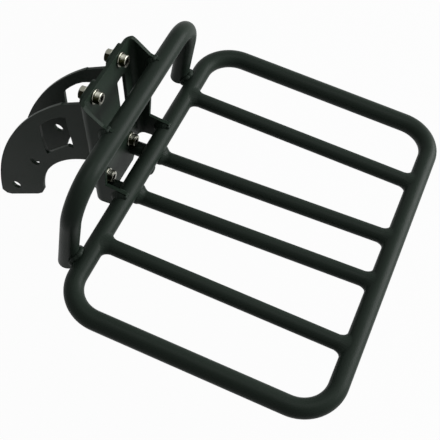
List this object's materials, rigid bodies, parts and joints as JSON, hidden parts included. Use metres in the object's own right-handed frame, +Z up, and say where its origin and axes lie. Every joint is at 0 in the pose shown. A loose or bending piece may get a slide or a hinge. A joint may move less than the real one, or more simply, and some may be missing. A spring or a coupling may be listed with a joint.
{
  "type": "motorcycle luggage rack",
  "caption": "Black tubular luggage rack with a flat slatted frame, an upright grab hoop and a bolted front bracket whose wing plates fix it to a motorcycle.",
  "frame": {"origin": "on the front rail's axis, midway across the rack", "axes": "+X rearward along the slats, +Y to the left across the rack, +Z up out of the luggage frame"},
  "size_m": [0.36, 0.314, 0.1972],
  "materials": {
    "coat": "satin black powder coat over steel",
    "hardware": "bright zinc-plated or stainless fasteners"
  },
  "bodies": {
    "root": {"frame_loop": "coat", "slat_1": "coat", "slat_2": "coat", "slat_3": "coat", "slat_4": "coat", "slat_welds": "coat", "grab_hoop": "coat", "hoop_plugs": "coat", "hoop_welds": "coat", "front_bracket": "coat", "bracket_welds": "coat", "wing_plate_left": "coat", "wing_plate_right": "coat", "lug_left_top": "coat", "lug_left_low": "coat", "lug_right_top": "coat", "lug_right_low": "coat", "bolts": "hardware", "head_washers": "hardware", "nut_washers": "hardware", "nuts": "hardware"}
  },
  "joints": []
}
